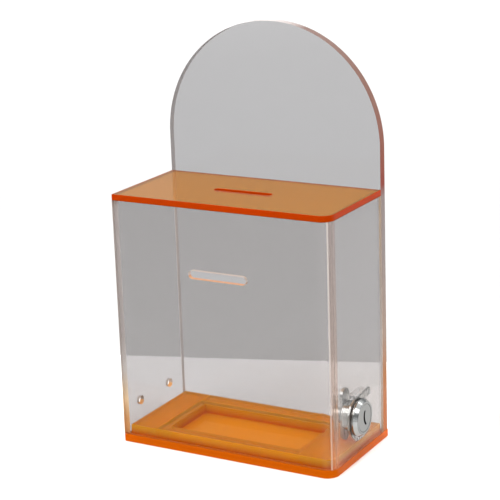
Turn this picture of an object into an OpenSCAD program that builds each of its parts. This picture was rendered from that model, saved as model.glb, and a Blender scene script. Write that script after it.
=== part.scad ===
// Lockable donation box: a clear acrylic shell with a domed header stands on an
// orange base. A cam lock in the right wall hooks its cam under a keeper on the base.
// Frame: +X right, +Y back, +Z up. Origin: centre of the base plate's underside.

/* [Box] */
// Width of the box, and of every horizontal plate
box_w = 150; // [140:1:180]
// Depth from the front face to the back panel
box_d = 71; // [71:1:90]
// Height of the four walls, without the lid
wall_h = 154.5; // [130:0.5:200]
// Sheet thickness of the bent front and side panel, and of the left panel
wall_t = 3; // [2.5:0.5:4]
// Outer radius of the bend between the front and the right side
bend_r = 8; // [6:0.5:12]

/* [Lid and header] */
// Sheet thickness of the lid
lid_t = 4; // [3:0.5:6]
// Sheet thickness of the back panel
back_t = 6; // [4:0.5:8]
// Height above the floor of the centre of the header's round top
dome_z = 189; // [180:1:230]

/* [Slots and holes] */
// Length of the coin slot and of the front slot, end to end
slot_l = 40; // [30:1:60]
// Width of both slots
slot_w = 5; // [4.5:0.5:6]
// Place of both slots' centres along X
slot_x = -1.5; // [-10:0.5:10]
// Height above the floor of the front slot's centre line
front_slot_z = 118; // [100:1:140]
// Diameter of the two fixing holes in the left panel
hole_d = 5.5; // [4:0.5:7]
// Distance between the two fixing holes
hole_pitch = 35; // [25:1:45]
// Height above the floor of the fixing holes
hole_z = 22.5; // [18:0.5:30]

/* [Base] */
// Thickness of the base plate
base_t = 5; // [4:0.5:6]
// Distance that the base plate stands out behind the back panel
base_overhang = 1; // [0:0.5:5]
// Thickness of the raised pieces that locate the shell
raised_t = 6; // [4:0.5:7]
// Gap between the raised pieces and the walls
raised_gap = 0.5; // [0.2:0.1:1]
// Half the width of the window in the raised frame
window_half_w = 46; // [30:1:48]
// Width of the frame's front border
border_front = 8; // [6:1:12]
// Width of the frame's left border
border_left = 6; // [4:1:8]
// Width of the frame's back border
border_back = 5; // [4:1:8]
// Width of the back strip
back_strip_w = 11.5; // [8:0.5:14]

/* [Lock] */
// Height above the floor of the lock's axis
lock_z = 27.5; // [27.5:0.5:40]
// Place of the lock's axis along Y
lock_y = -2; // [-6:0.5:2]
// Diameter of the lock's head
head_d = 24; // [22:0.5:26]
// Distance that the head stands out of the wall
head_h = 3.5; // [3:0.5:5]
// Diameter of the round face of the turning plug
face_d = 17.3; // [16:0.1:18]
// Diameter of the lock's barrel
barrel_d = 19; // [18:0.5:20]
// Width of the barrel across its two flats
flats_w = 16.5; // [15.5:0.5:17]
// Thickness of the cam
cam_t = 2; // [1.5:0.5:2]
// Width of the cam
cam_w = 10; // [9:0.5:10]
// Length of the cam's upper arm from the axis
arm_up = 17.5; // [16:0.5:20]
// Length of the cam's lower arm from the axis
arm_down = 16.2; // [14:0.1:16.2]

/* [Hidden] */
$fn = 96;
running = 0.05;          // radial clearance of the plug in the barrel
cut = 0.5;               // how far a cutting shape passes the face it cuts

x_right = box_w / 2;
x_left = -x_right;
base_d = box_d + back_t + base_overhang;
y_front = -base_d / 2;
y_back = y_front + box_d;         // front face of the back panel
y_mid = (y_front + y_back) / 2;   // middle of the lid
y_rear = base_d / 2;
z_shell = base_t;                 // the shell stands on the base plate
z_lid = z_shell + wall_h;
z_raised = base_t + raised_t;

raised_left = x_left + wall_t + raised_gap;
raised_right = x_right - wall_t - raised_gap;
raised_front = y_front + wall_t + raised_gap;
raised_back = y_back - raised_gap;
raised_r = bend_r - wall_t - raised_gap;
back_strip_y = raised_back - back_strip_w;
left_strip_x = -window_half_w - border_left;
window_y0 = raised_front + border_front;
window_y1 = back_strip_y - border_back;

// Lock, outer end to inner end along X
x_wall_in = x_right - wall_t;
x_face = x_right + head_h;
face_recess = 1.4;
face_t = 1.25;
face_gap = 0.25;         // open ring between the head and the plug's face
rim_t = 1;
nose_r = 10.3;
plug_r = 6.5;
barrel_len = 9.8;
x_barrel = x_right - barrel_len;
stop_t = 0.95;
x_stop = x_barrel - running - stop_t;
x_cam = x_stop - cam_t;
lock_washer_t = 0.8;
x_washer = x_cam - lock_washer_t;
screw_head_t = 3;
stub_w = 8;
stub_gap = 0.05;
stub_short = 0.1;        // the square stub stops short of the washer, so that the screw clamps
screw_r = 1.95;
screw_hole_r = 2;
screw_len = 4.4;
washer_r = 6;
screw_head_r = 4;

// Travel stop: a tab on the stop washer runs in a notch in the barrel's inner rim
turn = 90;
tab_half_angle = 12;
tab_start = -135;        // the tab's middle at rest, from +Y towards +Z
tab_play = 0.5;
tab_len = 1.2;
notch_depth = 1.4;
tab_in_r = 6.75;
tab_out_r = 8;

// Wafers, in slots across the plug
wafer_count = 6;
wafer_t = 1;
wafer_pitch = 1.6;
wafer_x0 = x_barrel + 2;
wafer_w = 5.1;
wafer_r = 6.4;
slot_play = 0.05;
bit_lifts = [0.2, -0.1, 0.3, 0, -0.3, 0.1];   // height of each wafer's window, from the key's cuts
wafer_window_w = 3.4;
wafer_window_h = 9.9;
ear_y = 4;
ear_h = 1;
pocket_y = 4.1;
pocket_floor = -4.5;
ear_travel = 1;

// Springs under the wafers' ears
spring_y = 3.3;
spring_r = 0.38;
spring_wire_r = 0.1;
spring_turns = 4;
spring_steps = 10;
spring_sides = 4;
spring_gap = 0.02;

// Keyway: a slot that curves along its height
key_w = 1.9;
key_half_h = 4.7;
key_steps = 5;
key_end = x_barrel + 1.7;

// Horseshoe clip
clip_t = 1.2;
clip_x = x_wall_in - clip_t;
clip_groove_r = 8.6;
clip_play = 0.1;

// Keeper
keeper_t = 4;
keeper_x = x_cam + cam_t / 2 - keeper_t / 2;
keeper_y0 = lock_y + 10.5;
keeper_column_y = lock_y + 19.5;
keeper_y1 = lock_y + 25.5;
keeper_lip_z = lock_z + cam_w / 2 + 0.6;
keeper_lip_h = 4;

clear_grey = [0.80, 0.80, 0.81, 0.35];
orange = [0.93, 0.45, 0.10, 0.75];
chrome = [0.80, 0.81, 0.83];
steel = [0.66, 0.67, 0.69];
brass = [0.78, 0.63, 0.32];

// ---- Shared shapes ----

// A flat outline from corner (x0, y0) to (x1, y1), with only its front-right corner rounded
module plate_outline(x0, y0, x1, y1, r) {
    difference() {
        translate([x0, y0]) square([x1 - x0, y1 - y0]);
        translate([x1 - r, y0 - cut]) square([r + cut, r + cut]);
    }
    intersection() {
        translate([x1 - r, y0 + r]) circle(r);
        translate([x1 - r, y0]) square([r, r]);
    }
}

// A slot with round ends, centred, its length along X
module slot_outline(length, width) {
    square([length - width, width], center = true);
    for (side = [-1, 1]) translate([side * (length - width) / 2, 0]) circle(width / 2);
}

// The front wall, the bend and the right wall, seen from above
module bent_outline() {
    translate([x_left, y_front]) square([box_w - bend_r, wall_t]);
    translate([x_wall_in, y_front + bend_r]) square([wall_t, box_d - bend_r]);
    translate([x_right - bend_r, y_front + bend_r]) intersection() {
        difference() {
            circle(bend_r);
            circle(bend_r - wall_t);
        }
        translate([0, -bend_r]) square([bend_r, bend_r]);
    }
}

// Turns a flat outline drawn in (Y, Z) into a solid along +X, placed on the lock's axis
module along_lock(x, length) {
    translate([x, lock_y, lock_z]) rotate([90, 0, 90]) linear_extrude(length) children();
}

// A sector of a disc, from one angle to another
module sector(r, from, to) {
    steps = 8;
    reach = r / cos((to - from) / steps / 2);
    polygon(concat([[0, 0]], [for (i = [0 : steps]) let (a = from + (to - from) * i / steps)
        reach * [cos(a), sin(a)]]));
}

// A circle with two flats that face front and back
module double_d(r, flats) {
    intersection() {
        circle(r);
        square([flats, 2 * r + 2 * cut], center = true);
    }
}

// ---- Base ----

module base_plate() {
    color(orange) linear_extrude(base_t) plate_outline(x_left, y_front, x_right, y_rear, bend_r);
}

module base_frame() {
    color(orange) translate([0, 0, base_t]) linear_extrude(raised_t) difference() {
        plate_outline(left_strip_x, raised_front, raised_right, back_strip_y, raised_r);
        translate([-window_half_w, window_y0]) square([2 * window_half_w, window_y1 - window_y0]);
    }
}

module base_left_strip() {
    color(orange) translate([raised_left, raised_front, base_t])
        cube([left_strip_x - raised_left, raised_back - raised_front, raised_t]);
}

module base_back_strip() {
    color(orange) translate([left_strip_x, back_strip_y, base_t])
        cube([raised_right - left_strip_x, back_strip_w, raised_t]);
}

// An upright hook: a column on the base with a lip over the turned cam
module lock_keeper() {
    color(clear_grey) translate([keeper_x, 0, 0]) rotate([90, 0, 90]) linear_extrude(keeper_t)
        polygon([[keeper_column_y, z_raised], [keeper_y1, z_raised],
                 [keeper_y1, keeper_lip_z + keeper_lip_h], [keeper_y0, keeper_lip_z + keeper_lip_h],
                 [keeper_y0, keeper_lip_z], [keeper_column_y, keeper_lip_z]]);
}

// ---- Shell ----

module front_side_panel() {
    color(clear_grey) difference() {
        translate([0, 0, z_shell]) linear_extrude(wall_h) bent_outline();
        translate([slot_x, y_front + wall_t + cut, front_slot_z]) rotate([90, 0, 0])
            linear_extrude(wall_t + 2 * cut) slot_outline(slot_l, slot_w);
        along_lock(x_wall_in - cut, wall_t + 2 * cut)
            double_d(barrel_d / 2 + running, flats_w + 2 * running);
    }
}

module left_panel() {
    color(clear_grey) difference() {
        translate([x_left, y_front + wall_t, z_shell]) cube([wall_t, box_d - wall_t, wall_h]);
        for (side = [-1, 1])
            translate([x_left - cut, y_mid + side * hole_pitch / 2, hole_z]) rotate([0, 90, 0])
                cylinder(d = hole_d, h = wall_t + 2 * cut);
    }
}

module back_panel() {
    color(clear_grey) translate([0, y_back + back_t, 0]) rotate([90, 0, 0]) linear_extrude(back_t) {
        translate([x_left, z_shell]) square([box_w, dome_z - z_shell]);
        translate([0, dome_z]) circle(box_w / 2, $fn = 180);
    }
}

module lid() {
    color(orange) translate([0, 0, z_lid]) linear_extrude(lid_t) difference() {
        plate_outline(x_left, y_front, x_right, y_back, bend_r);
        translate([slot_x, y_mid]) slot_outline(slot_l, slot_w);
    }
}

// ---- Lock, fixed half ----

module lock_body() {
    color(chrome) difference() {
        union() {
            translate([x_right, lock_y, lock_z]) rotate([0, 90, 0]) rotate_extrude()
                polygon([[0, 0], [head_d / 2, 0], [head_d / 2, rim_t], [nose_r, head_h], [0, head_h]]);
            along_lock(x_barrel, barrel_len) double_d(barrel_d / 2, flats_w);
        }
        // Bore and face recess
        along_lock(x_barrel - cut, barrel_len + head_h) circle(plug_r + running);
        along_lock(x_face - face_recess, face_recess + cut) circle(face_d / 2 + face_gap);
        // Notch in which the stop washer's tab turns
        along_lock(x_barrel - cut, notch_depth + cut)
            sector(barrel_d, tab_start - tab_half_angle - tab_play,
                   tab_start + turn + tab_half_angle + tab_play);
        // Grooves for the horseshoe clip
        for (side = [-1, 1])
            translate([clip_x - clip_play, lock_y - barrel_d,
                       lock_z + side * (clip_groove_r + barrel_d / 2) - barrel_d / 2])
                cube([clip_t + clip_play, 2 * barrel_d, barrel_d]);
    }
}

// A U of sheet steel: two legs in the barrel's grooves, joined in front of its front flat
module horseshoe_clip() {
    inner = clip_groove_r + running;
    outside = [[-11.5, -5], [-8.5, -9.5], [-6, -12.5], [-3, -15], [2, -16], [8.5, -16],
               [14, -13.5], [16, -9.5]];
    inside_lower = [[12, -inner], [-7, -inner], [-9, -5]];
    inside_upper = [[-9, 5], [-7, inner], [9, inner]];
    top = [[19.5, inner], [17.5, 13.5], [-3.5, 12], [-8.5, 9.5], [-11.5, 5]];
    color(chrome) along_lock(clip_x, clip_t)
        polygon(concat(outside, inside_lower, inside_upper, top));
}

// ---- Lock, turning half ----

// The keyway's middle line: its place along Y at height z
function key_mid(z) = -0.9 - 0.135 * z + 0.076 * z * z;

module keyway_outline() {
    heights = [for (i = [-key_steps : key_steps]) key_half_h * i / key_steps];
    polygon(concat([for (z = heights) [key_mid(z) + key_w / 2, z]],
                   [for (i = [len(heights) - 1 : -1 : 0]) [key_mid(heights[i]) - key_w / 2, heights[i]]]));
}

module wafer_outline(lift) {
    difference() {
        union() {
            intersection() {
                circle(wafer_r);
                square([wafer_w, 2 * wafer_r], center = true);
            }
            translate([0, -ear_h / 2]) square([ear_y, ear_h]);
        }
        translate([0, lift]) square([wafer_window_w, wafer_window_h], center = true);
    }
}

module wafer(index) {
    color(brass) along_lock(wafer_x0 + (index - 1) * wafer_pitch, wafer_t)
        wafer_outline(bit_lifts[index - 1]);
}

module lock_plug() {
    color(chrome) difference() {
        union() {
            along_lock(x_face - face_recess + running, face_t) circle(face_d / 2);
            along_lock(x_stop + stop_t, x_face - face_recess + face_t - x_stop - stop_t) circle(plug_r);
            along_lock(x_cam + stub_short, cam_t + stop_t) square(stub_w, center = true);
        }
        along_lock(key_end, x_face - key_end + cut) keyway_outline();
        along_lock(x_washer, screw_len + running) circle(screw_hole_r);
        for (i = [0 : wafer_count - 1]) {
            x = wafer_x0 + i * wafer_pitch - slot_play;
            along_lock(x, wafer_t + 2 * slot_play) {
                square([wafer_w + 2 * slot_play, 2 * plug_r + cut], center = true);
                translate([0, pocket_floor]) square([pocket_y, ear_travel - pocket_floor + ear_h / 2]);
            }
        }
    }
}

// One ring of the spring's wire, at a given step along the coil
function spring_ring(step, length) =
    let (a = 360 * step / spring_steps,
         z = spring_wire_r + (length - 2 * spring_wire_r) * step / (spring_steps * spring_turns))
    [for (k = [0 : spring_sides - 1]) let (b = 360 * k / spring_sides,
        r = spring_r + spring_wire_r * cos(b))
        [r * cos(a), r * sin(a), z + spring_wire_r * sin(b)]];

module spring(length) {
    rings = spring_steps * spring_turns;
    n = spring_sides;
    points = [for (s = [0 : rings]) each spring_ring(s, length)];
    walls = [for (s = [0 : rings - 1], k = [0 : n - 1])
        let (a = s * n + k, b = s * n + (k + 1) % n, c = b + n, d = a + n) each [[a, b, c], [a, c, d]]];
    caps = [[for (k = [n - 1 : -1 : 0]) k], [for (k = [0 : n - 1]) rings * n + k]];
    polyhedron(points, concat(walls, caps), convexity = 6);
}

module wafer_springs() {
    length = -ear_h / 2 - pocket_floor - 2 * spring_gap;
    color(steel) for (i = [0 : wafer_count - 1])
        translate([wafer_x0 + i * wafer_pitch + wafer_t / 2, lock_y + spring_y,
                   lock_z + pocket_floor + spring_gap]) spring(length);
}

module stop_washer() {
    hole = stub_w + 2 * stub_gap;
    color(steel) {
        along_lock(x_stop, stop_t) difference() {
            circle(tab_out_r);
            square(hole, center = true);
        }
        along_lock(x_stop, stop_t + tab_len) intersection() {
            difference() {
                circle(tab_out_r);
                circle(tab_in_r);
            }
            sector(barrel_d, tab_start - tab_half_angle, tab_start + tab_half_angle);
        }
    }
}

module cam() {
    color(steel) along_lock(x_cam, cam_t) difference() {
        union() {
            translate([-cam_w / 2, cam_w / 2 - arm_down])
                square([cam_w, arm_up + arm_down - cam_w]);
            translate([0, arm_up - cam_w / 2]) circle(cam_w / 2);
            translate([0, cam_w / 2 - arm_down]) circle(cam_w / 2);
        }
        square(stub_w + 2 * stub_gap, center = true);
    }
}

module cam_washer() {
    color(steel) along_lock(x_washer, lock_washer_t) difference() {
        circle(washer_r);
        circle(screw_hole_r + running);
    }
}

module cam_screw() {
    color(steel) {
        difference() {
            along_lock(x_washer - screw_head_t, screw_head_t) circle(screw_head_r, $fn = 6);
            along_lock(x_washer - screw_head_t - cut, cut + screw_head_t / 3)
                for (a = [0, 90]) rotate(a) square([4, 0.9], center = true);
        }
        along_lock(x_washer, screw_len) circle(screw_r);
    }
}

base_plate();
base_frame();
base_left_strip();
base_back_strip();
lock_keeper();
front_side_panel();
left_panel();
back_panel();
lid();
lock_body();
horseshoe_clip();
lock_plug();
wafer(1);  // wafer_1
wafer(2);  // wafer_2
wafer(3);  // wafer_3
wafer(4);  // wafer_4
wafer(5);  // wafer_5
wafer(6);  // wafer_6
wafer_springs();
stop_washer();
cam();
cam_washer();
cam_screw();
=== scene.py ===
"""Looks of an acrylic donation box: clear bent-sheet shell, orange lid and base, chrome cam lock.

Units are metres, in the CAD's frame: +X right, +Y back, +Z up, origin at the centre of the
base's underside.
"""
from math import atan2, cos, degrees, radians, sin

import bmesh
import bpy
from mathutils import Matrix, Vector


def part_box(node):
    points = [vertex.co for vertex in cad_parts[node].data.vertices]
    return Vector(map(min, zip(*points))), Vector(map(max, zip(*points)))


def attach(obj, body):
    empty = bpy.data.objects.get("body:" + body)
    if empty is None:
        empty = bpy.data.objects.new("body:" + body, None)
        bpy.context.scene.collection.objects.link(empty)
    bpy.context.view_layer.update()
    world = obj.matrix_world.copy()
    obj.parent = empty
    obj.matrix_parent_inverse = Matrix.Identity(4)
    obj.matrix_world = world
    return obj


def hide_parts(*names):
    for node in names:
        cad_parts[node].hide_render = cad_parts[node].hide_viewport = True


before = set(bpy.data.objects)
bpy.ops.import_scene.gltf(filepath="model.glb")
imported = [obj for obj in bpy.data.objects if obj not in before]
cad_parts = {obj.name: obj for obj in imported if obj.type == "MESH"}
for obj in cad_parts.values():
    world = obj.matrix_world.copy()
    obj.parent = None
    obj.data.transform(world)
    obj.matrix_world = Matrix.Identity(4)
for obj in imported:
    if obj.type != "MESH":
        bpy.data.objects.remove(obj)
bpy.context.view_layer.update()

MM = 0.001

# ---------------------------------------------------------------- sizes

BEND_R = 8 * MM          # outer radius of the front-right corner
WALL = 3 * MM            # sheet thickness of the walls
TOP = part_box("back_panel")[1][2]      # top of the dome
LID_LOW, LID_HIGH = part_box("lid")

SLOT_L, SLOT_W = 40 * MM, 5 * MM
SLOT_X = -1.5 * MM       # both slots sit a little left of the middle
FRONT_SLOT_Z = 118 * MM
HOLE_R = 2.75 * MM       # the left panel's two round holes
HOLE_PITCH = 35 * MM
HOLE_Z = 22.5 * MM

LOCK_Y, LOCK_Z = -2 * MM, 27.5 * MM   # the lock's axis, along X
LOCK_HOLE_R = 9.55 * MM
LOCK_HOLE_FLAT = 8.3 * MM             # from the axis to each flat of the double-D hole
LOCK_FACE_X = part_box("lock_plug")[1][0] - 0.1 * MM
KEEPER_COLUMN = 6 * MM   # the keeper's depth below its lip
KEEPER_LIP = 4 * MM

FRAME_CORNER_R = BEND_R - WALL - 0.5 * MM
WINDOW_X = 46 * MM       # half width of the raised frame's window
WINDOW_FRONT, WINDOW_BACK = 8 * MM, 5 * MM     # the frame's widths in front of it and behind it

GLUE = 0.03 * MM         # how far glued sheets run into each other, so that light goes straight through
GAP = 0.03 * MM          # film of air between sheets that are only put together
PAST = MM                # how far a cutter reaches past the sheet that it cuts

EASE_KEEPER = 0.25 * MM  # widths of the eased edges
EASE_WALL = 0.3 * MM
EASE_RAISED = 0.4 * MM
EASE_ORANGE = 0.5 * MM

ARC_STEPS = 24
HOLE_STEPS = 48
LOCK_HOLE_STEPS = 95
DOME_STEPS = 96

FLAT = 0.95              # a face looks along an axis when its normal's part along it is over this
SLOPED = 0.2             # and belongs to a rounded edge when that part is over this
LOOKS_UP = 0.3           # and is lit by the base when its upward part is over this

# ---------------------------------------------------------------- node helpers


def new_material(name):
    """A new material and its empty node tree."""
    material = bpy.data.materials.new(name)
    material.use_nodes = True
    tree = material.node_tree
    tree.nodes.clear()
    return material, tree


def add(tree, kind, **values):
    """A node of this kind. Values set inputs by name, or attributes where no input has the name."""
    node = tree.nodes.new(kind)
    for key, value in values.items():
        label = key.replace("_", " ")
        if label in node.inputs:
            node.inputs[label].default_value = value
        else:
            setattr(node, key, value)
    return node


def noise(tree, scale, stretch=(1, 1, 1), detail=3):
    """Noise in object space, stretched by different scales along X, Y and Z."""
    place = add(tree, "ShaderNodeTexCoord")
    mapping = add(tree, "ShaderNodeMapping", Scale=stretch)
    texture = add(tree, "ShaderNodeTexNoise", Scale=scale, Detail=detail)
    tree.links.new(place.outputs["Object"], mapping.inputs["Vector"])
    tree.links.new(mapping.outputs["Vector"], texture.inputs["Vector"])
    return texture.outputs["Fac"]


def coordinate(tree, axis):
    """A surface point's X, Y or Z in object space."""
    place = add(tree, "ShaderNodeTexCoord")
    split = add(tree, "ShaderNodeSeparateXYZ")
    tree.links.new(place.outputs["Object"], split.inputs[0])
    return split.outputs[axis]


def remap(tree, value, low, high, to_low, to_high):
    """value, moved from the range low..high to the range to_low..to_high."""
    node = add(tree, "ShaderNodeMapRange", From_Min=low, From_Max=high, To_Min=to_low, To_Max=to_high)
    tree.links.new(value, node.inputs["Value"])
    return node.outputs["Result"]


def ramp(tree, value, stops):
    """A colour that runs through the stops (position, red, green, blue) as value goes from 0 to 1."""
    node = add(tree, "ShaderNodeValToRGB")
    points = node.color_ramp.elements
    while len(points) < len(stops):
        points.new(0.5)
    for point, (position, *color) in zip(points, stops):
        point.position = position
        point.color = (*color, 1)
    tree.links.new(value, node.inputs["Fac"])
    return node.outputs["Color"]


def grey_ramp(tree, value, stops):
    """A grey that runs through the stops (position, brightness) as value goes from 0 to 1."""
    return ramp(tree, value, [(position, grey, grey, grey) for position, grey in stops])


def mix_colors(tree, share, first, second):
    """A colour from first to second as share goes from 0 to 1. Each is a tuple or a node's output."""
    node = add(tree, "ShaderNodeMix", data_type="RGBA")
    tree.links.new(share, node.inputs[0])
    for socket, color in ((node.inputs[6], first), (node.inputs[7], second)):
        if isinstance(color, tuple):
            socket.default_value = (*color, 1)
        else:
            tree.links.new(color, socket)
    return node.outputs[2]


def bump(tree, relief, shader, distance, strength):
    """Drives the shader's normal from a relief."""
    node = add(tree, "ShaderNodeBump", Distance=distance, Strength=strength)
    tree.links.new(relief, node.inputs["Height"])
    tree.links.new(node.outputs["Normal"], shader.inputs["Normal"])


# ---------------------------------------------------------------- materials


def acrylic(name, color, shadow_tint, body=0.0, absorb=None, density=0.0, gloss=(1, 1, 1),
            ior=1.2, glow=0.0):
    """Cast acrylic. color is the tint of what passes through a polished sheet, as a tuple, or a
    sawn edge's colours along its height, as a list of ramp stops. body is the share of light that
    is scattered, absorb and density colour long paths inside, and glow is for light that a real
    edge carries along. The index of refraction is low, so that little light is trapped inside."""
    material, tree = new_material(name)
    shader = add(tree, "ShaderNodeBsdfPrincipled", IOR=ior, Specular_Tint=(*gloss, 1))
    shader.inputs["Transmission Weight"].default_value = 1 - body
    if isinstance(color, list):
        saw_lines = noise(tree, 900, (1, 1, 0.02), 2)
        tree.links.new(remap(tree, saw_lines, 0.3, 0.8, 0.06, 0.2), shader.inputs["Roughness"])
        bump(tree, saw_lines, shader, 0.02 * MM, 0.6)
        share = remap(tree, coordinate(tree, "Z"), 0, TOP, 0, 1)
        tree.links.new(ramp(tree, share, color), shader.inputs["Base Color"])
    else:
        shader.inputs["Base Color"].default_value = (*color, 1)
        smear = noise(tree, 35, detail=5)
        tree.links.new(remap(tree, smear, 0.45, 0.8, 0.0, 0.008), shader.inputs["Roughness"])
    if glow:
        shader.inputs["Emission Color"].default_value = (1.0, 0.95, 0.93, 1)
        shader.inputs["Emission Strength"].default_value = glow
    light_path = add(tree, "ShaderNodeLightPath")
    clear = add(tree, "ShaderNodeBsdfTransparent", Color=(*shadow_tint, 1))
    mix = add(tree, "ShaderNodeMixShader")
    output = add(tree, "ShaderNodeOutputMaterial")
    tree.links.new(light_path.outputs["Is Shadow Ray"], mix.inputs["Fac"])
    tree.links.new(shader.outputs[0], mix.inputs[1])
    tree.links.new(clear.outputs[0], mix.inputs[2])
    tree.links.new(mix.outputs[0], output.inputs["Surface"])
    if absorb:
        volume = add(tree, "ShaderNodeVolumeAbsorption", Color=(*absorb, 1), Density=density)
        tree.links.new(volume.outputs[0], output.inputs["Volume"])
    return material


def metal(name, color, rough_low, rough_high, grain, stretch=(1, 1, 1), depth=0.01 * MM, face=None):
    """Plated or bare metal. A grain gives its roughness and fine relief, and patches its tone.
    Past the X of its face, where there is one, it is painted half as bright: painted shade that stands
    for the darker things the face reflects."""
    material, tree = new_material(name)
    shader = add(tree, "ShaderNodeBsdfPrincipled", Metallic=1.0)
    fine = noise(tree, grain, stretch, 4)
    patches = remap(tree, noise(tree, 260, detail=2), 0.35, 0.65, 0, 1)
    tone = mix_colors(tree, patches, tuple(c * 0.86 for c in color), color)
    if face:
        # Painted shade: the lock's face is painted half as bright.
        on_shaded_face = remap(tree, coordinate(tree, "X"), face - 0.1 * MM, face, 0, 1)
        tone = mix_colors(tree, on_shaded_face, tone, tuple(c * 0.5 for c in color))
    tree.links.new(tone, shader.inputs["Base Color"])
    tree.links.new(remap(tree, fine, 0.3, 0.7, rough_low, rough_high), shader.inputs["Roughness"])
    bump(tree, fine, shader, depth, 0.5)
    output = add(tree, "ShaderNodeOutputMaterial")
    tree.links.new(shader.outputs[0], output.inputs["Surface"])
    return material


# Painted light: the base and the lid light the sawn edges, so these colours are painted orange near
# them, and the dome's rim is painted bright at its very top, as a highlight. Each list of stops runs
# from the floor (0) to the top of the dome (1).
LID_STOP = LID_LOW[2] / TOP
EDGE_STOPS = [
    (0.0, 0.36, 0.08, 0.006), (0.072, 0.35, 0.08, 0.007), (0.169, 0.33, 0.117, 0.032),
    (0.265, 0.31, 0.21, 0.155), (0.48, 0.24, 0.20, 0.19), (0.60, 0.23, 0.18, 0.17),
    (0.63, 0.21, 0.022, 0.012), (0.70, 0.22, 0.05, 0.026), (0.81, 0.21, 0.095, 0.07),
    (0.985, 0.21, 0.13, 0.11), (1.0, 0.62, 0.57, 0.55)]
LEFT_STOPS = [
    (0.0, 0.52, 0.25, 0.10), (0.10, 0.52, 0.43, 0.38), (0.30, 0.46, 0.44, 0.43),
    (0.62, 0.45, 0.42, 0.41), (0.985, 0.44, 0.41, 0.40), (1.0, 0.62, 0.57, 0.55)]
# Painted reflection: the bend's pinkish stripe, orange low down, stands for what the bent sheet
# reflects and refracts.
BEND_STOPS = [
    (0.0, 0.80, 0.40, 0.18), (0.08, 0.62, 0.38, 0.26), (0.20, 0.50, 0.37, 0.31),
    (0.60, 0.44, 0.35, 0.32)]
# Painted highlight: the bright line on the bend and in the openings.
HIGHLIGHT_STOPS = [
    (0.0, 0.58, 0.40, 0.27), (0.10, 0.50, 0.42, 0.37), (0.20, 0.48, 0.42, 0.40),
    (0.32, 0.64, 0.57, 0.53)]
LIT_STOPS = [(0.0, 0.85, 0.42, 0.12), (0.45, 0.64, 0.35, 0.20)]
# The orange is the rims' own colour. The lid's edge is painted darker at its foot, as painted shade,
# and the raised frame's edge is brighter and yellower than the plate's.
RIM_STOPS = [
    (0.0, 0.76, 0.16, 0.002), (0.018, 0.76, 0.135, 0.001), (0.024, 0.74, 0.19, 0.001),
    (0.032, 0.82, 0.36, 0.004), (0.045, 0.88, 0.42, 0.005), (LID_STOP, 0.48, 0.06, 0.001),
    (LID_STOP + 0.005, 0.60, 0.056, 0.001), (1.0, 0.63, 0.070, 0.001)]
# Painted light in the glued joints: their pale colours stand for the light that passes straight through
# a glued joint, painted orange near the base.
JOINT_STOPS = [
    (0.0, 0.80, 0.42, 0.12), (0.10, 0.85, 0.62, 0.48), (0.19, 0.80, 0.72, 0.68),
    (0.28, 0.80, 0.75, 0.72), (0.34, 0.72, 0.68, 0.66), (1.0, 0.72, 0.68, 0.66)]
SEAM_STOPS = [
    (0.0, 0.85, 0.45, 0.12), (0.06, 0.98, 0.86, 0.78), (0.15, 1.0, 0.95, 0.93),
    (1.0, 1.0, 0.95, 0.93)]
CORNER_STOPS = [
    (0.0, 0.52, 0.24, 0.06), (0.057, 0.62, 0.345, 0.15), (0.106, 0.72, 0.54, 0.34),
    (0.18, 0.56, 0.53, 0.51), (0.253, 0.43, 0.40, 0.39), (1.0, 0.44, 0.41, 0.41)]

SOFT = (0.6, 0.6, 0.6)                # gloss of the clear sheets
AMBER = (0.6, 0.3, 0.05)              # gloss of the orange ones
DEEP_ORANGE = (0.98, 0.7, 0.05)       # what long paths in the base turn to

# Polished clear sheets: front and right, then left and back.
CLEAR = acrylic("clear_acrylic", (0.76, 0.74, 0.73), (0.95, 0.95, 0.95), gloss=SOFT)
CLEAR_THICK = acrylic("clear_acrylic_thick", (0.48, 0.475, 0.48), (0.90, 0.90, 0.90), gloss=SOFT)
# Sawn edges: in general, and the back panel's left half.
EDGE = acrylic("clear_acrylic_edge", EDGE_STOPS, (0.9, 0.85, 0.8), 0.85, gloss=SOFT)
LEFT_EDGE = acrylic("clear_acrylic_left_edge", LEFT_STOPS, (0.9, 0.88, 0.86), 0.85, gloss=SOFT)
# The bend: its pinkish stripe of painted reflection, and its clear first half.
BEND = acrylic("clear_acrylic_bend", BEND_STOPS, (0.9, 0.87, 0.85), 0.24, gloss=SOFT)
TURN = acrylic("clear_acrylic_turn", (0.78, 0.75, 0.74), (0.92, 0.91, 0.90), 0.02, gloss=SOFT)
# The painted highlight on the bend and in the openings, and the painted light from the base on what
# looks up in an opening.
PAINTED_HIGHLIGHT = acrylic("clear_acrylic_painted_highlight", HIGHLIGHT_STOPS, (0.9, 0.9, 0.9), 0.6)
LIT = acrylic("clear_acrylic_lit_edge", LIT_STOPS, (0.9, 0.7, 0.5), 0.6, gloss=SOFT)
# Glued joints, painted with the light that passes through them: back right, back left and front left.
# The back left one also glows, as painted light.
JOINT = acrylic("clear_acrylic_glued_edge", JOINT_STOPS, (0.9, 0.88, 0.86), 0.85, gloss=SOFT)
SEAM = acrylic("clear_acrylic_seam", SEAM_STOPS, (0.95, 0.93, 0.92), 0.85, gloss=SOFT, glow=0.16)
CORNER = acrylic("clear_acrylic_corner", CORNER_STOPS, (0.9, 0.88, 0.86), 0.85, gloss=SOFT)
KEEPER = acrylic("clear_acrylic_keeper", (0.89, 0.89, 0.89), (0.96, 0.96, 0.96), gloss=SOFT,
                 ior=1.14)
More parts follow.
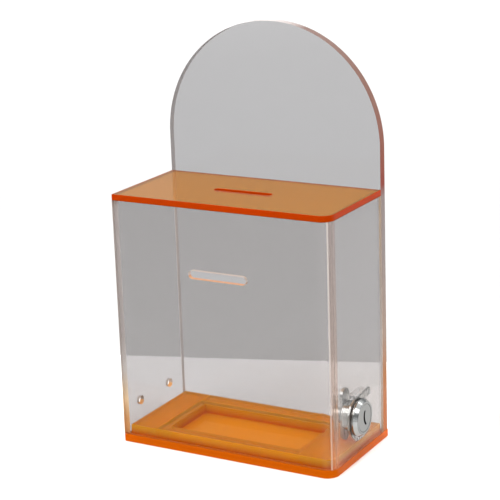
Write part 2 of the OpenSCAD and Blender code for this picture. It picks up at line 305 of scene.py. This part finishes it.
# Orange sheets: the base's, the lid, and the rims of both.
ORANGE = acrylic("orange_acrylic", (0.71, 0.36, 0.006), (1.0, 0.82, 0.40), 0.28,
                 DEEP_ORANGE, 60, AMBER, ior=1.35)
LID_ORANGE = acrylic("orange_acrylic_lid", (0.68, 0.36, 0.09), (1.0, 0.80, 0.40), 0.16,
                     (0.98, 0.7, 0.3), 60, (0.08, 0.06, 0.03), ior=1.49)
RIM = acrylic("orange_acrylic_edge", RIM_STOPS, (1.0, 0.80, 0.40), 0.5,
              DEEP_ORANGE, 60, AMBER, ior=1.15)
CHROME = metal("chrome", (0.36, 0.37, 0.365), 0.06, 0.13, 900, face=LOCK_FACE_X)
ZINC = metal("zinc_plate", (0.40, 0.41, 0.41), 0.22, 0.38, 700, (1, 1, 0.08), 0.02 * MM)
BRASS = metal("brass", (0.80, 0.62, 0.30), 0.2, 0.35, 800)

# Finishes of the CAD nodes that are kept as they are.
NODE_FINISHES = {
    **dict.fromkeys(("lock_body", "lock_plug"), CHROME),
    **dict.fromkeys(("horseshoe_clip", "wafer_springs", "stop_washer", "cam", "cam_washer",
                     "cam_screw"), ZINC),
    **{f"wafer_{number}": BRASS for number in range(1, 7)},
}

# ---------------------------------------------------------------- outlines

PLANES = {
    "Z": Matrix(((1, 0, 0), (0, 1, 0), (0, 0, 1))),     # outline in (X, Y)
    "Y": Matrix(((1, 0, 0), (0, 0, -1), (0, 1, 0))),    # outline in (X, Z), thickness towards -Y
    "X": Matrix(((0, 0, 1), (1, 0, 0), (0, 1, 0))),     # outline in (Y, Z)
}


def arc(cx, cy, r, start, end, steps=ARC_STEPS):
    """Points on an arc, from one angle to another in degrees."""
    return [(cx + r * cos(radians(start + (end - start) * i / steps)),
             cy + r * sin(radians(start + (end - start) * i / steps))) for i in range(steps + 1)]


def circle(cx, cy, r, steps):
    """Points all the way round, the first not repeated."""
    return arc(cx, cy, r, 0, 360, steps)[:-1]


def plate_outline(x0, y0, x1, y1, r):
    """A rectangle with its front-right corner rounded."""
    return [(x0, y0), *arc(x1 - r, y0 + r, r, -90, 0), (x1, y1), (x0, y1)]


def rectangle(x0, y0, x1, y1):
    """A rectangle's four corners."""
    return [(x0, y0), (x1, y0), (x1, y1), (x0, y1)]


def slot_outline(x, y, length, width):
    """A slot with round ends, lying along the first axis."""
    reach = (length - width) / 2
    return [*arc(x + reach, y, width / 2, -90, 90), *arc(x - reach, y, width / 2, 90, 270)]


# ---------------------------------------------------------------- meshes


def solid(name, outline, axis, start, thickness):
    """A closed prism: the outline, pushed from start through thickness along the axis."""
    turn = PLANES[axis]
    if axis == "Y":
        start, thickness = -start, -thickness
    low, high = sorted((start, start + thickness))
    mesh = bpy.data.meshes.new(name)
    made = bmesh.new()
    rings = [[made.verts.new(turn @ Vector((x, y, z))) for x, y in outline] for z in (low, high)]
    made.faces.new(rings[0][::-1])
    made.faces.new(rings[1])
    for i in range(len(outline)):
        j = (i + 1) % len(outline)
        made.faces.new((rings[0][i], rings[0][j], rings[1][j], rings[1][i]))
    bmesh.ops.recalc_face_normals(made, faces=made.faces)
    made.to_mesh(mesh)
    made.free()
    piece = bpy.data.objects.new(name, mesh)
    bpy.context.scene.collection.objects.link(piece)
    return piece


def apply_modifiers(piece):
    """Turns the piece's modifiers into plain mesh."""
    graph = bpy.context.evaluated_depsgraph_get()
    mesh = bpy.data.meshes.new_from_object(piece.evaluated_get(graph))
    piece.modifiers.clear()
    old = piece.data
    piece.data = mesh
    bpy.data.meshes.remove(old)


def cut(piece, cutters):
    """Takes the cutters out of the piece, and deletes them."""
    for cutter in cutters:
        modifier = piece.modifiers.new("cut", "BOOLEAN")
        modifier.operation = "DIFFERENCE"
        modifier.solver = "EXACT"
        modifier.object = cutter
    apply_modifiers(piece)
    for cutter in cutters:
        bpy.data.objects.remove(cutter)


def ease_edges(piece, width, glued=None):
    """Rounds the sharp edges, apart from those whose ends glued(place) puts in a glued joint, and
    keeps flat faces flat."""
    sharp = radians(35)
    made = bmesh.new()
    made.from_mesh(piece.data)
    weight = made.edges.layers.float.new("bevel_weight_edge")
    for edge in made.edges:
        joint = glued and all(glued(vert.co) for vert in edge.verts)
        edge[weight] = 1.0 if not joint and edge.calc_face_angle(0) > sharp else 0.0
    made.to_mesh(piece.data)
    made.free()
    for polygon in piece.data.polygons:
        polygon.use_smooth = True
    bevel = piece.modifiers.new("bevel", "BEVEL")
    bevel.width = width
    bevel.segments = 3
    bevel.limit_method = "WEIGHT"
    bevel.use_clamp_overlap = True
    split = piece.modifiers.new("split", "EDGE_SPLIT")
    split.split_angle = sharp
    weigh = piece.modifiers.new("weigh", "WEIGHTED_NORMAL")
    weigh.keep_sharp = True
    weigh.weight = 100
    apply_modifiers(piece)


def finish_piece(piece, body, nodes, materials, rule=None):
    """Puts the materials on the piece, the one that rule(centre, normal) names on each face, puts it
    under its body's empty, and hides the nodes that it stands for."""
    for material in materials:
        piece.data.materials.append(material)
    if rule:
        for polygon in piece.data.polygons:
            polygon.material_index = materials.index(rule(polygon.center, polygon.normal))
    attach(piece, body)
    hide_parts(*nodes)


def finish_orange(piece, body, node, sheet=ORANGE):
    """Finishes an orange sheet: the sheet's own material above and below, the rim's on its edges."""
    finish_piece(piece, body, [node], [sheet, RIM],
                 lambda place, normal: sheet if abs(normal.z) > FLAT else RIM)


def shrink(low, high):
    """A node's box, smaller all round by the film of air."""
    return [v + GAP for v in low], [v - GAP for v in high]


def grow(low, high):
    """A node's box, larger all round by the run of a glued joint."""
    return [v - GLUE for v in low], [v + GLUE for v in high]


# ---------------------------------------------------------------- base


def make_base():
    """The base plate, the raised frame with its window, and the two strips beside the frame."""
    low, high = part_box("base_plate")
    plate = solid("base_plate_sheet", plate_outline(low[0], low[1], high[0], high[1], BEND_R),
                  "Z", low[2], high[2] - low[2])
    ease_edges(plate, EASE_ORANGE)
    finish_orange(plate, "base", "base_plate")

    low, high = grow(*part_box("base_frame"))
    rim = solid("base_frame_sheet",
                plate_outline(low[0], low[1], high[0], high[1], FRAME_CORNER_R),
                "Z", low[2], high[2] - GLUE - low[2])
    window = solid("window", rectangle(-WINDOW_X, low[1] + WINDOW_FRONT,
                                       WINDOW_X, high[1] - WINDOW_BACK),
                   "Z", low[2] - PAST, high[2] - low[2] + 2 * PAST)
    cut(rim, [window])
    ease_edges(rim, EASE_RAISED)
    finish_orange(rim, "base", "base_frame")

    for node in ("base_left_strip", "base_back_strip"):
        low, high = shrink(*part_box(node))
        low[2] -= GAP + GLUE
        strip = solid(node + "_sheet", rectangle(low[0], low[1], high[0], high[1]),
                      "Z", low[2], high[2] + GAP - low[2])
        ease_edges(strip, EASE_RAISED)
        finish_orange(strip, "base", node)


def make_keeper():
    """The hook that the turned cam goes under: a column with a lip towards the front."""
    low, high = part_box("lock_keeper")
    column = high[1] - KEEPER_COLUMN
    lip = high[2] - KEEPER_LIP
    outline = [(column, low[2] - GLUE), (high[1], low[2] - GLUE), (high[1], high[2]),
               (low[1], high[2]), (low[1], lip), (column, lip)]
    keeper = solid("lock_keeper_sheet", outline, "X", low[0], high[0] - low[0])
    ease_edges(keeper, EASE_KEEPER)
    finish_piece(keeper, "base", ["lock_keeper"], [KEEPER])


# ---------------------------------------------------------------- shell


def opening_material(normal):
    """What a cut face in a slot or hole shows: a painted highlight, but painted orange light from the
    base where it looks up.
    """
    return LIT if normal.z > LOOKS_UP else PAINTED_HIGHLIGHT


def bend_material(normal):
    """What the bend shows: clear, then a painted highlight, then a pinkish stripe of painted reflection
    up to the side.
    """
    turned = degrees(atan2(normal.x, -normal.y))     # 0 on the front, 90 on the side
    if not 4 < turned < 86:
        return CLEAR
    return TURN if turned < 42 else PAINTED_HIGHLIGHT if turned < 47 else BEND


def make_front_side_panel():
    """The front and right walls: one sheet, bent at the front-right corner."""
    (x0, y0, z0), (x1, y1, z1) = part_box("front_side_panel")
    z0 += GAP
    z1 += GLUE
    y1 += GLUE
    end = 0.4 * MM           # a glued end and its eased edges lie within this
    bend_x, bend_y = x1 - BEND_R, y0 + BEND_R
    outline = [(x0, y0), *arc(bend_x, bend_y, BEND_R, -90, 0), (x1, y1), (x1 - WALL, y1),
               *arc(bend_x, bend_y, BEND_R - WALL, 0, -90), (x0, y0 + WALL)]
    panel = solid("front_side_sheet", outline, "Z", z0, z1 - z0)
    slot_cutter = solid("slot_cutter", slot_outline(SLOT_X, FRONT_SLOT_Z, SLOT_L, SLOT_W),
                        "Y", y0 - PAST, WALL + 2 * PAST)
    hole = [(LOCK_Y + max(-LOCK_HOLE_FLAT, min(LOCK_HOLE_FLAT, y)), LOCK_Z + z)
            for y, z in circle(0, 0, LOCK_HOLE_R, LOCK_HOLE_STEPS)]
    lock_cutter = solid("lock_cutter", hole, "X", x1 - WALL - PAST, WALL + 2 * PAST)
    cut(panel, [slot_cutter, lock_cutter])
    ease_edges(panel, EASE_WALL, lambda place: place.z > z1 - GLUE or place.y > y1 - GLUE
               or place.x < x0 + GLUE and place.y > y0 + MM)

    def rule(place, normal):
        if not z0 + MM < place.z < z1 - MM and abs(normal.z) > SLOPED:
            return EDGE
        if place.y > y1 - end:
            return JOINT
        if place.x < x0 + end:
            return CORNER
        if place.x > bend_x and place.y < bend_y:
            return bend_material(normal)
        outwards = normal.y if place.x < bend_x else normal.x
        return CLEAR if abs(outwards) > FLAT else opening_material(normal)

    finish_piece(panel, "shell", ["front_side_panel"],
                 [CLEAR, EDGE, LIT, PAINTED_HIGHLIGHT, BEND, JOINT, TURN, CORNER], rule)


def make_left_panel():
    """The left wall, glued between the front and the back, with two round holes low down."""
    (x0, y0, z0), (x1, y1, z1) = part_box("left_panel")
    z0 += GAP
    z1 += GLUE
    y0 -= GLUE
    y1 += GLUE
    panel = solid("left_sheet", rectangle(x0, y0, x1, y1), "Z", z0, z1 - z0)
    middle = (LID_LOW[1] + LID_HIGH[1]) / 2
    cut(panel, [solid("hole", circle(middle + side * HOLE_PITCH / 2, HOLE_Z, HOLE_R, HOLE_STEPS),
                      "X", x0 - PAST, WALL + 2 * PAST) for side in (-1, 1)])
    ease_edges(panel, EASE_WALL,
               lambda place: place.z > z1 - GLUE or not y0 + GLUE < place.y < y1 - GLUE)

    def rule(place, normal):
        if abs(normal.x) > FLAT:
            return CLEAR_THICK
        if not y0 + MM < place.y < y1 - MM:
            return CORNER if place.y < middle else SEAM
        return EDGE if not z0 + MM < place.z < z1 - MM else opening_material(normal)

    finish_piece(panel, "shell", ["left_panel"],
                 [CLEAR_THICK, EDGE, LIT, PAINTED_HIGHLIGHT, CORNER, SEAM], rule)


def make_back_panel():
    """The back wall, which goes on above the lid and ends in a semicircle."""
    (x0, y0, z0), (x1, y1, z1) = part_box("back_panel")
    r = (x1 - x0) / 2
    # The rim's warm right half is a painted reflection of the orange lid; the left half is painted
    # grey.
    grey_up_to = -10 * MM    # the rim is grey to the left of this and warm to the right
    outline = [(x0, z0 + GAP), (x1, z0 + GAP), *arc(0, z1 - r, r, 0, 180, DOME_STEPS)]
    panel = solid("back_sheet", outline, "Y", y0, y1 - y0)
    ease_edges(panel, EASE_RAISED)

    def rule(place, normal):
        if abs(normal.y) > FLAT:
            return CLEAR_THICK
        return LEFT_EDGE if place.x < grey_up_to else EDGE

    finish_piece(panel, "shell", ["back_panel"], [CLEAR_THICK, EDGE, LEFT_EDGE],
                 rule)


def make_lid():
    """The lid, with the coin slot through it, glued to the back panel."""
    (x0, y0, z0), (x1, y1, z1) = LID_LOW, LID_HIGH
    lid = solid("lid_sheet", plate_outline(x0, y0, x1, y1 + GLUE, BEND_R), "Z", z0, z1 - z0)
    slot_cutter = solid("coin_cutter", slot_outline(SLOT_X, (y0 + y1) / 2, SLOT_L, SLOT_W),
                        "Z", z0 - PAST, z1 - z0 + 2 * PAST)
    cut(lid, [slot_cutter])
    ease_edges(lid, EASE_ORANGE, lambda place: place.y > y1 - GLUE)
    finish_orange(lid, "shell", "lid", LID_ORANGE)


# ---------------------------------------------------------------- stage, light and camera


def direction(azimuth, elevation):
    """The way from the box to a viewer, who stands in front at azimuth 0 and to its right at 90."""
    a, e = radians(azimuth), radians(elevation)
    return Vector((sin(a) * cos(e), -cos(a) * cos(e), sin(e)))


def make_floor():
    """A pale floor, painted with light and shade: palest on a square around the box, as a painted pool
    of light, and painted darker just past it, so that the square's far edge is the straight line that
    shows low in the clear walls; further out it is painted lighter again, where the lamps' light falls
    off."""
    half_size = 152 * MM
    square_turn = radians(-19.4)
    reach = 2.0              # the grey stops run from the box out to this distance
    stops = [(0.0, 0.56), (0.15, 0.57), (0.3, 0.615), (0.6, 0.79), (1.0, 0.98)]
    bpy.ops.mesh.primitive_plane_add(size=60, location=(0, 0, -0.2 * MM))
    floor = bpy.context.object
    floor.name = "floor"
    material, tree = new_material("floor")
    shader = add(tree, "ShaderNodeBsdfPrincipled", Roughness=0.7)
    place = add(tree, "ShaderNodeTexCoord")
    turned = add(tree, "ShaderNodeMapping", Rotation=(0, 0, square_turn))
    size = add(tree, "ShaderNodeVectorMath", operation="ABSOLUTE")
    split = add(tree, "ShaderNodeSeparateXYZ")
    largest = add(tree, "ShaderNodeMath", operation="MAXIMUM")
    output = add(tree, "ShaderNodeOutputMaterial")
    tree.links.new(place.outputs["Object"], turned.inputs["Vector"])
    tree.links.new(turned.outputs["Vector"], size.inputs[0])
    tree.links.new(size.outputs["Vector"], split.inputs[0])
    tree.links.new(split.outputs["X"], largest.inputs[0])
    tree.links.new(split.outputs["Y"], largest.inputs[1])
    distance = largest.outputs["Value"]
    far = grey_ramp(tree, remap(tree, distance, 0, reach, 0, 1), stops)
    # Painted light: the bright square around the box, and painted shade just past it.
    past_painted_square = remap(tree, distance, half_size - 0.5 * MM, half_size + 0.5 * MM, 0, 1)
    shade = mix_colors(tree, past_painted_square, (0.95, 0.95, 0.95), far)
    tree.links.new(shade, shader.inputs["Base Color"])
    tree.links.new(shader.outputs[0], output.inputs["Surface"])
    floor.data.materials.append(material)


def make_light():
    """Soft light: a dome, dimmest a little above the horizon and bright overhead, and softboxes."""
    world = bpy.data.worlds.new("studio")
    world.use_nodes = True
    tree = world.node_tree
    place = add(tree, "ShaderNodeTexCoord")
    split = add(tree, "ShaderNodeSeparateXYZ")
    tree.links.new(place.outputs["Generated"], split.inputs[0])
    sky = grey_ramp(tree, split.outputs["Z"],
                    [(0.0, 0.66), (0.16, 0.66), (0.22, 0.28), (0.42, 0.30), (0.75, 1.0)])
    background = tree.nodes["Background"]
    tree.links.new(sky, background.inputs["Color"])
    background.inputs["Strength"].default_value = 1.5
    bpy.context.scene.world = world
    softboxes = [
        # name, azimuth, elevation, distance, width, height, power
        ("key", -35, 42, 1.1, 0.9, 0.7, 8),
        ("fill", 70, 25, 1.2, 0.5, 0.9, 4),
        ("top", 160, 70, 1.1, 0.9, 0.9, 6),
    ]
    middle = Vector((0, 0, 0.1))
    for name, azimuth, elevation, distance, width, height, power in softboxes:
        back = direction(azimuth, elevation)
        light = bpy.data.lights.new(name, "AREA")
        light.shape = "RECTANGLE"
        light.size, light.size_y, light.energy = width, height, power
        lamp = bpy.data.objects.new(name, light)
        lamp.location = middle + back * distance
        lamp.rotation_euler = back.to_track_quat("Z", "Y").to_euler()
        bpy.context.scene.collection.objects.link(lamp)


def make_camera():
    """The photograph's angle: 30 degrees round to the right, 16 above, tilted 2 degrees."""
    back = direction(29.69, 15.69)
    roll = radians(-1.93)
    distance = 1.026
    target = Vector((0.0020, -0.0034, 0.1267))
    right = (-back).cross(Vector((0, 0, 1))).normalized()
    up = right.cross(-back)
    right_tilted = right * cos(roll) + up * sin(roll)
    up_tilted = up * cos(roll) - right * sin(roll)
    data = bpy.data.cameras.new("camera")
    data.sensor_width = 36
    data.lens = 119.34
    data.clip_start, data.clip_end = 0.01, 20
    camera = bpy.data.objects.new("camera", data)
    turn = Matrix((right_tilted, up_tilted, back)).transposed().to_4x4()
    camera.matrix_world = Matrix.Translation(target + back * distance) @ turn
    bpy.context.scene.collection.objects.link(camera)
    bpy.context.scene.camera = camera


def paint_nodes():
    """Gives the CAD nodes that are kept their finishes."""
    for name, finish in NODE_FINISHES.items():
        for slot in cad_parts[name].material_slots:
            slot.material = finish


bpy.context.scene.view_settings.view_transform = "Standard"
make_camera()
make_light()
make_floor()
make_base()
make_keeper()
make_front_side_panel()
make_left_panel()
make_back_panel()
make_lid()
paint_nodes()
